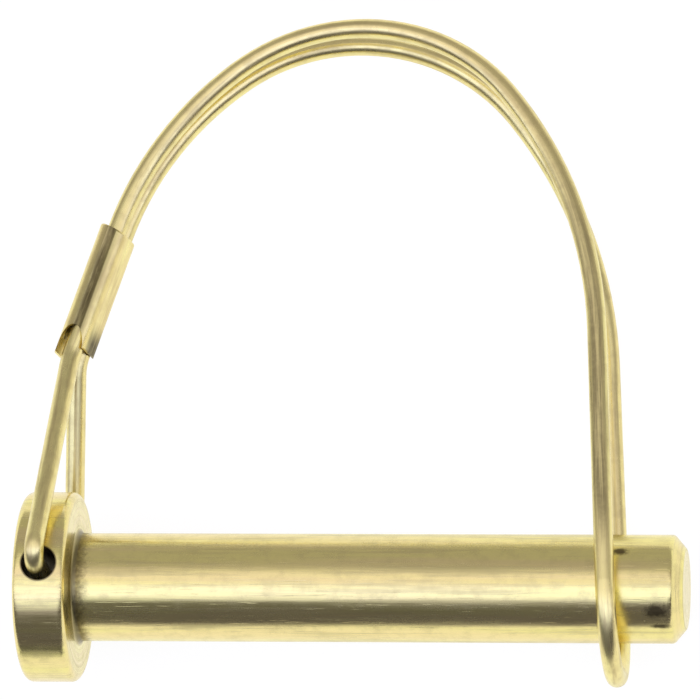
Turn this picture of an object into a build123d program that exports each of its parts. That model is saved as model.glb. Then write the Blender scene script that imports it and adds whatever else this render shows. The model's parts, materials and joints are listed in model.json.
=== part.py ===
from build123d import *
import os
from math import asin, atan2, cos, degrees, pi, radians, sin, tan

# Sizes in millimetres, angles in degrees.
# It is built with X along the shank, Y towards the crown of the bow and Z along the cross hole.
# The origin is the middle of the head's underside, and it stays there when the whole is laid down.

# Turned pin
shank_d = 10.0
shank_length = 56.55
head_d = 17.6
head_thickness = 4.85
rim_rounding = 0.7
root_fillet = 0.5
tail_chamfer_length = 1.1
tail_chamfer_depth = 1.3
tail_rounding = 0.5
cross_hole_d = 3.2
cross_hole_setback = 2.35

# Wire, and how its ends sit in the cross hole
wire_d = 1.8
strand_gap = 0.1
hook_play_x = 0.2
hook_play_y = -0.25
hook_reach = 4.5
hook_stand_off = 2.4
hook_bend_r = 1.5

# Ferrule, placed by the middle of its lower mouth
ferrule_x = -1.49
ferrule_y = 22.4
ferrule_lean = 17.0
ferrule_twist = 10.0
ferrule_length = 12.4
ferrule_wall = 0.3
ferrule_clearance = 0.03
ferrule_fold = 0.4
throat_slant = 12.0
mouth_slant = -20.0
ferrule_rounding = 0.2
seam_r = 0.8
seam_depth = 0.18
seam_shift = 0.3
scallop_depth = 2.4
scallop_width = 2.5
mouth_run = 0.6
mouth_bend_r = 4.0

# Bow, measured to the middle of the wire
bow_height = 53.6
shoulder_turn = 36.0
crown_turn = 87.5
rear_bend_r = 41.6
leg_lean = 3.8

# Closed loop round the tail
loop_x = 49.65
loop_side_gap = 0.9
loop_end_gap = 2.3

shank_r = shank_d / 2
head_r = head_d / 2
wire_r = wire_d / 2

# The pin is one turned profile with a hole drilled across its head.
profile = make_face(
    Polyline(
        (-head_thickness, 0),
        (-head_thickness, head_r),
        (0, head_r),
        (0, shank_r),
        (shank_length - tail_chamfer_length, shank_r),
        (shank_length, shank_r - tail_chamfer_depth),
        (shank_length, 0),
        close=True,
    )
)
corners = [
    ((-head_thickness, head_r), rim_rounding),
    ((0, head_r), rim_rounding),
    ((0, shank_r), root_fillet),
    ((shank_length - tail_chamfer_length, shank_r), tail_rounding),
    ((shank_length, shank_r - tail_chamfer_depth), tail_rounding),
]
for corner, radius in corners:
    profile = fillet(profile.vertices().sort_by_distance(corner)[0], radius)
pin = revolve(profile, Axis.X)
pin -= Pos(-cross_hole_setback, 0) * Cylinder(cross_hole_d / 2, 2 * head_d)

# Ways at the ferrule: along it, across the bow, and through the two strands that lie in it.
up = Vector(0, 0, 1)
twist = radians(ferrule_twist)
along = Vector(sin(radians(ferrule_lean)), cos(radians(ferrule_lean)))
across = Vector(along.Y, -along.X)
through = up * cos(twist) - across * sin(twist)
sideways = across * cos(twist) + up * sin(twist)
mouth = Vector(ferrule_x, ferrule_y)
throat = mouth + along * ferrule_length
strand_off = wire_r + strand_gap / 2
hinge = Vector(-cross_hole_setback - hook_play_x, hook_play_y)
loop_z = shank_r + loop_side_gap + wire_r
loop_end_y = -shank_r - loop_end_gap - wire_r

# The two bows open like the leaves of a book hinged at the ferrule, until the loop clears the tail.
leaf_reach = (Vector(loop_x, 0) - throat).dot(across)
spread = atan2(loop_z - strand_off * cos(twist), leaf_reach)

# Headings of the bow, turned from Y: at the throat, shoulder's end, crown's end and down the leg
h0 = radians(ferrule_lean)
h1 = h0 + radians(shoulder_turn)
h2 = h1 + radians(crown_turn)
h3 = pi - radians(leg_lean)


def bend_radii(climb, target):
    """Shoulder and crown radii that bring the bow up by climb and its leg to the target."""
    lean = tan(radians(leg_lean))
    shoulder_up = sin(h1) - sin(h0)
    shoulder_out = cos(h0) - cos(h1) + lean * shoulder_up
    crown_up = 1 - sin(h1)
    crown_out = cos(h1) - cos(h2) + lean * (sin(h2) - sin(h1))
    rear_out = rear_bend_r * (cos(h2) - cos(h3) + lean * (sin(h3) - sin(h2)))
    out = target.X + lean * target.Y - rear_out
    both = shoulder_up * crown_out - shoulder_out * crown_up
    return (climb * crown_out - out * crown_up) / both, (out * shoulder_up - climb * shoulder_out) / both


def strand(side):
    """Path of the upper strand, side 1, or the lower one, side -1, from cross hole to loop."""
    # Out of the cross hole, round the hook and straight through the ferrule
    start = throat + through * side * strand_off
    rise = FilletPolyline(
        hinge + up * side * (head_r - hook_reach),
        hinge + up * side * (head_r + hook_stand_off),
        start - along * (ferrule_length + mouth_run),
        start,
        radius=[hook_bend_r, mouth_bend_r],
    )
    # The bow is drawn flat in its own leaf, and its leg is aimed at the loop.
    leaf = Plane(
        start,
        x_dir=across * cos(spread) + up * side * sin(spread),
        z_dir=up * cos(spread) - across * side * sin(spread),
    )
    reach = Vector(loop_x, 0) - start
    target = along * reach.dot(along) + across * (reach.dot(across) / cos(spread))
    shoulder_r, crown_r = bend_radii(bow_height - start.Y, target)
    shoulder = JernArc((0, 0), (0, 1), shoulder_r, -shoulder_turn)
    crown = JernArc(shoulder @ 1, shoulder % 1, crown_r, -crown_turn)
    rear = JernArc(crown @ 1, crown % 1, rear_bend_r, -degrees(h3 - h2))
    bow = leaf * (shoulder + crown + rear)
    # The straight leg ends where a round loop then reaches its stated end.
    top = bow @ 1
    way = bow % 1
    flare = asin(side * way.Z)
    slope = side * way.Z / way.Y
    round_share = (1 + sin(flare)) * way.Y / cos(flare) ** 2
    leg_end_y = (loop_end_y - round_share * loop_z) / (1 + round_share * slope)
    return rise, bow, Line(top, top + way * ((leg_end_y - top.Y) / way.Y))


# One round section runs from end to end, with the loop between the two legs.
rise, bow, leg = strand(1)
low_rise, low_bow, low_leg = strand(-1)
loop = TangentArc(leg @ 1, low_leg @ 1, tangent=leg % 1)
pieces = [rise, bow, leg, loop, low_leg, low_bow, low_rise]
path = Wire([edge for piece in pieces for edge in piece.edges()])
wire_bail = sweep(Plane(path @ 0, z_dir=path % 0) * Circle(wire_r), path)

# The ferrule is a flattened sleeve, tight on the strands, with an empty fold beside them and slanted ends.
foot = mouth - sideways * (ferrule_fold / 2)
bore_r = wire_r + ferrule_clearance
skin_r = bore_r + ferrule_wall
section = RectangleRounded(ferrule_fold + 2 * skin_r, 2 * (strand_off + skin_r), skin_r)
section -= RectangleRounded(ferrule_fold + 2 * bore_r, 2 * (strand_off + bore_r), bore_r)
top = foot + along * ferrule_length
ferrule = extrude(Plane((foot + top) / 2, x_dir=sideways, z_dir=along) * section, ferrule_length, both=True)
for end, slant, keep in ((foot, mouth_slant, Keep.TOP), (top, throat_slant, Keep.BOTTOM)):
    cut_way = along * cos(radians(slant)) + sideways * sin(radians(slant))
    ferrule = split(ferrule, Plane(end, z_dir=cut_way), keep=keep)
top_face = ferrule.faces().sort_by(Axis(foot, along))[-1]
ferrule = fillet(top_face.outer_wire().edges(), ferrule_rounding)

# A pressed seam runs down its front, and its lower mouth is scalloped front and back.
seam_foot = foot + through * (strand_off + skin_r + seam_r - seam_depth) + sideways * seam_shift
ferrule -= Plane(seam_foot, z_dir=along) * Cylinder(seam_r, 3 * ferrule_length)
scallop = extrude(Ellipse(scallop_width / 2, scallop_depth), 2 * (strand_off + skin_r), both=True)
ferrule -= Plane(foot, x_dir=sideways, z_dir=through) * scallop

# The whole lies down on the lower hook and the lower leg, with the shank above +X.
hook = low_rise.edges().filter_by(GeomType.CIRCLE)[0]
crest = hook.arc_center - up * hook_bend_r
floor_up = (crest - low_leg @ 1).cross(low_leg % 1).normalized()
shank_way = Vector(1, 0) - floor_up * floor_up.X
lie_down = Plane((0, 0, 0), x_dir=shank_way, z_dir=floor_up).location.inverse()

os.makedirs("parts", exist_ok=True)
for name, solid in (("pin", pin), ("wire_bail", wire_bail), ("ferrule", ferrule)):
    export_step(lie_down * solid, f"parts/{name}.step")
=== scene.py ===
import json
from math import atan2, cos, radians, sin
import bpy
from mathutils import Matrix, Vector


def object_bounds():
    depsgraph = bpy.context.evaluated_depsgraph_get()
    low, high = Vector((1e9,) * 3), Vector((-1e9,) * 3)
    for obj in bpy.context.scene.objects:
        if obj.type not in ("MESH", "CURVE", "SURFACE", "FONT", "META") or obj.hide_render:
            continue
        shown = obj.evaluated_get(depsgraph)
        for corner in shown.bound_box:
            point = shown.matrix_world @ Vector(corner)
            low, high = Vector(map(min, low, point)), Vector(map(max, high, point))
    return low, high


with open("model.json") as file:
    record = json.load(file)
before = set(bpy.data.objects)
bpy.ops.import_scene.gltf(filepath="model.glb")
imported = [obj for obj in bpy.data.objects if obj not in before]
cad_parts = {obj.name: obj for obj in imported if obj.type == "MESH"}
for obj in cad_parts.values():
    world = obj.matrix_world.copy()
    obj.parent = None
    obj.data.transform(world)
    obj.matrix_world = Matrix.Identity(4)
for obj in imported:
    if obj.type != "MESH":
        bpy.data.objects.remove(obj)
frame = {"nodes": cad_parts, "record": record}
cad_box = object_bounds()
record = frame["record"]

# Lengths in metres, angles in degrees.
# Viewpoint of the photograph, measured from the shank, the bow's crown and the cross hole
view_towards_tail = 8.558
view_towards_loop = 16.337
view_roll = 2.383
view_distance = 0.7159
view_along_shank = 0.02441
view_up_bow = 0.0229
focal_px = 7688.0
frame_px = 700
sensor_width = 36.0

# Floor, and where the metal sees it darken beyond the loop
floor_size = 2.0
floor_dark_y = -0.11
floor_white_y = -0.055
floor_glow = 0.92
floor_grey = (0.14, 0.14, 0.14, 1)

# Places on the part are given along the shank, up the bow and out along the cross hole.
part_origin = (0, 0, 0)
shank_line = Vector((1, 0, 0))
hole_line = Vector((0, 0, 1))

# Painted shade on the pin: in the corner where the shank meets the head, and in the drilled hole
root_shade_full = 0.0003
root_shade_end = 0.0018
root_shade_r = 0.0056
root_shade_share = 0.9
hole_place = (-0.00235, 0.0, 0.0)
hole_shade_r = 0.00162
hole_unshaded_r = 0.0018

# Smudges on the shank, and a painted shade beside the bow's leg: place along it, turn from the hole towards
# the crown, length and width
smudges_and_leg_shade = [
    (0.0542, -38.4, 0.0016, 0.0010),
    # Painted shade on the shank beside the bow's back leg
    (0.0507, 28.6, 0.0011, 0.0006),
    (0.0545, -57.4, 0.0012, 0.0004),
]
smudge_and_shade_levels = (1.5, 0.8)

# Wire: it runs round an arch, with streaks that shift from strand to strand, and a dark reflection is
# painted on the upper side of its legs, most of all on the strand that lies on top, and less on its rises
arch_x = 0.024
arch_y = 0.0296
arch_r = 0.024
wire_r = 0.0009
strand_shift = 3.0
dark_reflection_start_y = 0.001
dark_reflection_full_y = 0.007
dark_reflection_thin_y = 0.022
dark_reflection_end_y = 0.050
dark_reflection_depth = 0.001
dark_reflection_facing = (0.3, 0.8)
dark_reflection_streak_levels = (0.38, 0.58)
dark_reflection_speckle_levels = (0.25, 0.6)
rise_share = 0.3
lower_strand_share = 0.3
between_streaks_share = 0.35
between_speckles_share = 0.8

# Ferrule: painted shade beside the seam, from mouth to throat, and on the inner edge, measured from the
# seam's foot
seam_low = Vector((-0.00182, 0.02250, 0.00199))
seam_high = Vector((0.00180, 0.03436, 0.00199))
seam_shade_r = 0.0001
seam_unshaded_r = 0.0010
edge_start = 0.0012
edge_full = 0.0015
edge_low = 0.0013
edge_high = 0.0036
shade_streak_levels = (0.35, 0.55)
shade_speckle_levels = (0.0, 0.5)
thin_shade_share = 0.72

# Noise of the marks in the plating: scale, per metre or against a piece's grain, detail and roughness
drift_noise = (0.35, 3.0, 0.5)
cloud_noise = (620.0, 5.0, 0.65)
speckle_noise = (2400.0, 4.0, 0.7)
streak_noise = (1.0, 4.0, 0.6)
scratch_noise = (4.0, 2.0, 0.5)
noise_middle = 0.5

# Noise levels that the marks span, and how much they tint, roughen and raise the plating
drift_levels = (0.35, 0.65)
cloud_levels = (0.42, 0.72)
cloud_share = 0.45
cloud_roughness = 0.06
speckle_height_share = 0.08
streak_levels = (0.48, 0.70)
streak_share = 0.7
streak_gloss_levels = (0.3, 0.7)
streak_roughness = 0.12
streak_height_share = 0.6
scratch_levels = (0.62, 0.74)
scratch_depth_share = 0.25
stain_and_shade_roughness = 0.12
relief_height = 0.00003

# Turned faces: how squarely they face along the shank, and how fine their rings are against the grain
face_share = 0.7
ring_fineness = 2.5

# Axes of the pin as it lies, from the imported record
mounts = {mount["name"]: mount for mount in record["mounts"]}
joints = {joint["name"]: joint for joint in record["behaviour"]["joints"]}
shank = Vector(mounts["shank"]["axis"])
shank_r = mounts["shank"]["dims"]["r_mm"] / 1000
hole = Vector(joints["bail_swing"]["axis"])
crown = hole.cross(shank)
part_turn = Matrix((shank, crown, hole)).to_euler()


class Graph:
    """A node tree that is built up in short lines."""

    def __init__(self, tree):
        self.tree = tree
        tree.nodes.clear()

    def add(self, kind, inputs=None, **settings):
        node = self.tree.nodes.new(kind)
        for name, value in settings.items():
            setattr(node, name, value)
        for socket, value in (inputs or {}).items():
            if isinstance(value, bpy.types.NodeSocket):
                self.tree.links.new(value, node.inputs[socket])
            else:
                node.inputs[socket].default_value = value
        return node

    def math(self, operation, first, second=0.0):
        return self.add("ShaderNodeMath", {0: first, 1: second}, operation=operation).outputs[0]

    def times(self, *factors):
        product = factors[0]
        for factor in factors[1:]:
            product = self.math("MULTIPLY", product, factor)
        return product

    def vector(self, operation, first, second=(0, 0, 0)):
        return self.add("ShaderNodeVectorMath", {0: first, 1: second}, operation=operation).outputs[0]

    def measure(self, operation, *vectors):
        inputs = dict(enumerate(vectors))
        return self.add("ShaderNodeVectorMath", inputs, operation=operation).outputs["Value"]

    def split(self, vector):
        return self.add("ShaderNodeSeparateXYZ", {0: vector}).outputs

    def join(self, x, y, z=0.0):
        return self.add("ShaderNodeCombineXYZ", {0: x, 1: y, 2: z}).outputs[0]

    def noise(self, vector, scale, detail, roughness):
        inputs = {"Vector": vector, "Scale": scale, "Detail": detail, "Roughness": roughness}
        return self.add("ShaderNodeTexNoise", inputs).outputs["Fac"]

    def span(self, value, low, high, start=0.0, end=1.0, shape="SMOOTHSTEP"):
        inputs = {"Value": value, "From Min": low, "From Max": high, "To Min": start, "To Max": end}
        return self.add("ShaderNodeMapRange", inputs, interpolation_type=shape).outputs[0]

    def mix(self, share, first, second):
        inputs = {0: share, 6: first, 7: second}
        return self.add("ShaderNodeMix", inputs, data_type="RGBA").outputs[2]

    def choose(self, share, first, second):
        inputs = {0: share, 4: first, 5: second}
        return self.add("ShaderNodeMix", inputs, data_type="VECTOR").outputs[1]

    def turned(self, vector, turn):
        return self.add("ShaderNodeMapping", {"Vector": vector, "Rotation": turn}).outputs[0]

    def on_part(self, output):
        """Place or normal, given along the shank, up the bow and out along the cross hole."""
        return self.turned(self.add("ShaderNodeTexCoord").outputs[output], part_turn)

    def from_line(self, place, point, way):
        """Distance of the place from a line."""
        offset = self.vector("SUBTRACT", place, point)
        return self.measure("LENGTH", self.vector("CROSS_PRODUCT", offset, way.normalized()))


def pin_course(graph, place):
    """Drawn along the shank, and turned in rings on the faces across it."""
    out = graph.from_line(place, part_origin, shank_line)
    rings = graph.join(graph.split(place)["Y"], graph.times(out, ring_fineness))
    facing = graph.math("ABSOLUTE", graph.split(graph.on_part("Normal"))["X"])
    faces = graph.math("GREATER_THAN", facing, face_share)
    return graph.choose(faces, place, rings)


def wire_course(graph, place):
    """Drawn along the wire, up its legs and rises and round the arch, and marked by the turn about it."""
    way = graph.split(place)
    out = graph.math("SUBTRACT", way["X"], arch_x)
    over = graph.math("SUBTRACT", way["Y"], arch_y)
    above = graph.math("MAXIMUM", over, 0.0)
    below = graph.times(graph.math("MINIMUM", over, 0.0), graph.math("SIGN", out))
    run = graph.math("ADD", graph.times(graph.math("ARCTAN2", above, out), arch_r), below)
    run = graph.math("ADD", run, graph.times(way["Z"], strand_shift))
    outward = graph.vector("NORMALIZE", graph.join(out, above))
    normal = graph.on_part("Normal")
    side = graph.measure("DOT_PRODUCT", normal, outward)
    return graph.join(graph.times(side, wire_r), run, graph.times(graph.split(normal)["Z"], wire_r))


def ferrule_course(graph, place):
    """Drawn along the ferrule, which leans with its seam."""
    lean = atan2(seam_high.x - seam_low.x, seam_high.y - seam_low.y)
    return graph.turned(place, (0.0, 0.0, lean))


def pin_stain_and_shade(graph, place, speckle, _):
    """Painted shade at the root, where the shank meets the head, and in the hole, and smudges on the shank,
    one of them painted shade beside the bow's leg, with ragged edges.
    """
    along = graph.split(place)["X"]
    out = graph.from_line(place, part_origin, shank_line)
    ragged = graph.times(graph.math("SUBTRACT", speckle, noise_middle), root_shade_end)
    # Painted shade in the corner where the shank meets the head
    root = graph.span(graph.math("ADD", along, ragged), root_shade_end, root_shade_full)
    below_head = graph.math("GREATER_THAN", along, -root_shade_full)
    stain_and_shade = graph.times(root, below_head, graph.span(out, root_shade_r, shank_r, 0.0, root_shade_share))
    for reach, turn, length, width in smudges_and_leg_shade:
        spot = (reach, shank_r * sin(radians(turn)), shank_r * cos(radians(turn)))
        offset = graph.vector("SUBTRACT", place, spot)
        far = graph.measure("LENGTH", graph.vector("DIVIDE", offset, (length, width, width)))
        stain_and_shade = graph.math("MAXIMUM", stain_and_shade, graph.span(graph.math("ADD", far, speckle), *smudge_and_shade_levels))
    # Painted shade in the drilled hole
    drilled = graph.from_line(place, hole_place, hole_line)
    return graph.math("MAXIMUM", stain_and_shade, graph.span(drilled, hole_unshaded_r, hole_shade_r))


def wire_dark_reflection(graph, place, speckle, streak):
    """Streaks of painted dark reflection, which start above the loop and thin out towards the crown and the
    rises.
    """
    way = graph.split(place)
    # Painted dark reflection on the upward-facing side of the legs
    return graph.times(
        graph.span(way["Y"], dark_reflection_start_y, dark_reflection_full_y),
        graph.span(way["Y"], dark_reflection_end_y, dark_reflection_thin_y),
        graph.span(way["X"], 0.0, arch_x, rise_share, 1.0),
        graph.span(way["Z"], -dark_reflection_depth, dark_reflection_depth, lower_strand_share, 1.0),
        graph.span(graph.split(graph.on_part("Normal"))["Z"], *dark_reflection_facing),
        graph.span(streak, *dark_reflection_streak_levels, between_streaks_share, 1.0),
        graph.span(speckle, *dark_reflection_speckle_levels, between_speckles_share, 1.0),
    )


def ferrule_shade(graph, place, speckle, streak):
    """Painted shade that fills the seam and darkens the inner edge above the mouth."""
    # Painted shade in the seam
    far = graph.from_line(place, seam_low, seam_high - seam_low)
    seam = graph.span(far, seam_unshaded_r, seam_shade_r)
    way = graph.split(ferrule_course(graph, graph.vector("SUBTRACT", place, seam_low)))
    # Painted shade on the inner edge above the mouth
    inner = graph.span(way["X"], edge_start, edge_full)
    edge = graph.times(inner, graph.span(way["Y"], edge_high, edge_low))
    return graph.times(
        graph.math("MAXIMUM", seam, edge),
        graph.span(speckle, *shade_speckle_levels, thin_shade_share, 1.0),
        graph.span(streak, *shade_streak_levels, thin_shade_share, 1.0),
    )


def plating(name, tints, grain, roughness, relief, course_of, stain_and_shade_of):
    """Yellow zinc plating: tints drift over it, it is streaked along its course, and stains, painted shade
    and painted reflection darken and dull it.
    """
    pale, warm, dull, stain_and_shade_tint = tints
    material = bpy.data.materials.new(name)
    material.use_nodes = True
    graph = Graph(material.node_tree)
    place = graph.on_part("Object")
    drawn = graph.vector("MULTIPLY", course_of(graph, place), grain)
    drift = graph.span(graph.noise(drawn, *drift_noise), *drift_levels)
    cloud = graph.span(graph.noise(place, *cloud_noise), *cloud_levels)
    speckle = graph.noise(place, *speckle_noise)
    streak = graph.noise(drawn, *streak_noise)
    scratch = graph.span(graph.noise(drawn, *scratch_noise), *scratch_levels)
    stain_and_shade = stain_and_shade_of(graph, place, speckle, streak)
    colour = graph.mix(drift, pale, warm)
    colour = graph.mix(graph.times(cloud, cloud_share), colour, dull)
    colour = graph.mix(graph.span(streak, *streak_levels, 0.0, streak_share), colour, dull)
    # Darkened where stains, painted shade and painted reflection lie
    colour = graph.mix(stain_and_shade, colour, stain_and_shade_tint)
    gloss = graph.span(streak, *streak_gloss_levels, roughness, roughness + streak_roughness)
    gloss = graph.math("ADD", gloss, graph.times(cloud, cloud_roughness))
    gloss = graph.math("ADD", gloss, graph.times(stain_and_shade, stain_and_shade_roughness))
    height = graph.times(streak, streak_height_share)
    height = graph.math("ADD", height, graph.times(speckle, speckle_height_share))
    height = graph.math("SUBTRACT", height, graph.times(scratch, scratch_depth_share))
    bump = graph.add("ShaderNodeBump", {"Strength": relief, "Distance": relief_height, "Height": height})
    shader = graph.add(
        "ShaderNodeBsdfPrincipled",
        {"Base Color": colour, "Metallic": 1.0, "Roughness": gloss, "Normal": bump.outputs[0]},
    )
    graph.add("ShaderNodeOutputMaterial", {"Surface": shader.outputs[0]})
    return material


# Tints of each piece: pale, warm, dull, and the dark tint of its stains, painted shade and painted
# reflection
pin_tints = [(0.91, 0.81, 0.30, 1), (0.91, 0.76, 0.34, 1), (0.65, 0.56, 0.25, 1), (0.16, 0.13, 0.06, 1)]
wire_tints = [(0.96, 0.86, 0.36, 1), (0.93, 0.79, 0.34, 1), (0.62, 0.51, 0.23, 1), (0.36, 0.30, 0.13, 1)]
ferrule_tints = [(0.97, 0.87, 0.35, 1), (0.92, 0.77, 0.33, 1), (0.70, 0.56, 0.26, 1), (0.15, 0.12, 0.05, 1)]

# Each piece's tints, grain per metre, roughness and relief, with the course of its surface and its stains,
# painted shade and painted reflection
finishes = {
    "pin": (pin_tints, (70.0, 1700.0, 1700.0), 0.17, 0.6, pin_course, pin_stain_and_shade),
    "wire_bail": (wire_tints, (2600.0, 90.0, 2600.0), 0.24, 0.6, wire_course, wire_dark_reflection),
    "ferrule": (ferrule_tints, (1500.0, 130.0, 1500.0), 0.25, 0.5, ferrule_course, ferrule_shade),
}
for name, finish in finishes.items():
    material = plating(f"{name}_plating", *finish)
    for slot in frame["nodes"][name].material_slots:
        slot.material = material

# Floor that the part lies on, white to the camera, with a faint shadow
bpy.ops.mesh.primitive_plane_add(size=floor_size, location=(0.0, 0.0, cad_box[0][2]))
floor = bpy.context.object
floor.name = "floor"
white = bpy.data.materials.new("floor_white")
white.use_nodes = True
graph = Graph(white.node_tree)
path = graph.add("ShaderNodeLightPath").outputs
near = graph.split(graph.add("ShaderNodeTexCoord").outputs["Object"])["Y"]
mirrored = graph.times(path["Is Glossy Ray"], graph.span(near, floor_dark_y, floor_white_y))
seen = graph.math("MAXIMUM", path["Is Camera Ray"], mirrored)
glow = graph.add("ShaderNodeEmission", {"Strength": graph.times(seen, floor_glow)})
matt = graph.add("ShaderNodeBsdfDiffuse", {"Color": floor_grey})
both = graph.add("ShaderNodeAddShader", {0: glow.outputs[0], 1: matt.outputs[0]})
graph.add("ShaderNodeOutputMaterial", {"Surface": both.outputs[0]})
floor.data.materials.append(white)

# Studio, by angle from overhead towards the crown: a dark wall beyond the loop, a cool softbox overhead,
# its cream edge and a dim wall beyond the crown
dark_wall = (0.06, 0.058, 0.072, 1)
softbox = (0.65, 0.68, 1.0, 1)
softbox_edge = (0.50, 0.475, 0.55, 1)
dim_wall = (0.21, 0.20, 0.21, 1)
studio_end = 90
studio = [
    (-studio_end, dark_wall),
    (-45, dark_wall),
    (-31, softbox),
    (-12, softbox),
    (-2, softbox_edge),
    (18, softbox_edge),
    (32, dim_wall),
    (studio_end, dim_wall),
]
studio_strength = 2.0
world = bpy.data.worlds.new("studio")
bpy.context.scene.world = world
world.use_nodes = True
graph = Graph(world.node_tree)
way = graph.split(graph.add("ShaderNodeTexCoord").outputs["Generated"])
angle = graph.math("ARCTAN2", way["Y"], way["Z"])
share = graph.span(angle, radians(-studio_end), radians(studio_end), shape="LINEAR")
ramp = graph.add("ShaderNodeValToRGB", {0: share})
while len(ramp.color_ramp.elements) < len(studio):
    ramp.color_ramp.elements.new(0.5)
for element, (degree, colour) in zip(ramp.color_ramp.elements, studio):
    element.position = (degree + studio_end) / (2 * studio_end)
    element.color = colour
light = graph.add("ShaderNodeBackground", {"Color": ramp.outputs[0], "Strength": studio_strength})
blank = graph.add("ShaderNodeBackground", {"Color": (1, 1, 1, 1)})
camera_ray = graph.add("ShaderNodeLightPath").outputs["Is Camera Ray"]
choice = graph.add("ShaderNodeMixShader", {0: camera_ray, 1: light.outputs[0], 2: blank.outputs[0]})
graph.add("ShaderNodeOutputWorld", {"Surface": choice.outputs[0]})

# Camera at the photograph's viewpoint
swing = radians(view_towards_tail)
dip = radians(view_towards_loop)
roll = radians(view_roll)
back = shank * sin(swing) * cos(dip) - crown * sin(dip) + hole * cos(swing) * cos(dip)
level = shank * cos(swing) - hole * sin(swing)
upward = back.cross(level)
right = level * cos(roll) + upward * sin(roll)
upward = upward * cos(roll) - level * sin(roll)
spot = shank * view_along_shank + crown * view_up_bow + back * view_distance
lens = bpy.data.cameras.new("camera")
lens.sensor_width = sensor_width
lens.lens = sensor_width * focal_px / frame_px
camera = bpy.data.objects.new("camera", lens)
camera.matrix_world = Matrix.Translation(spot) @ Matrix((right, upward, back)).transposed().to_4x4()
bpy.context.scene.collection.objects.link(camera)
bpy.context.scene.camera = camera

bpy.context.scene.view_settings.view_transform = "Standard"
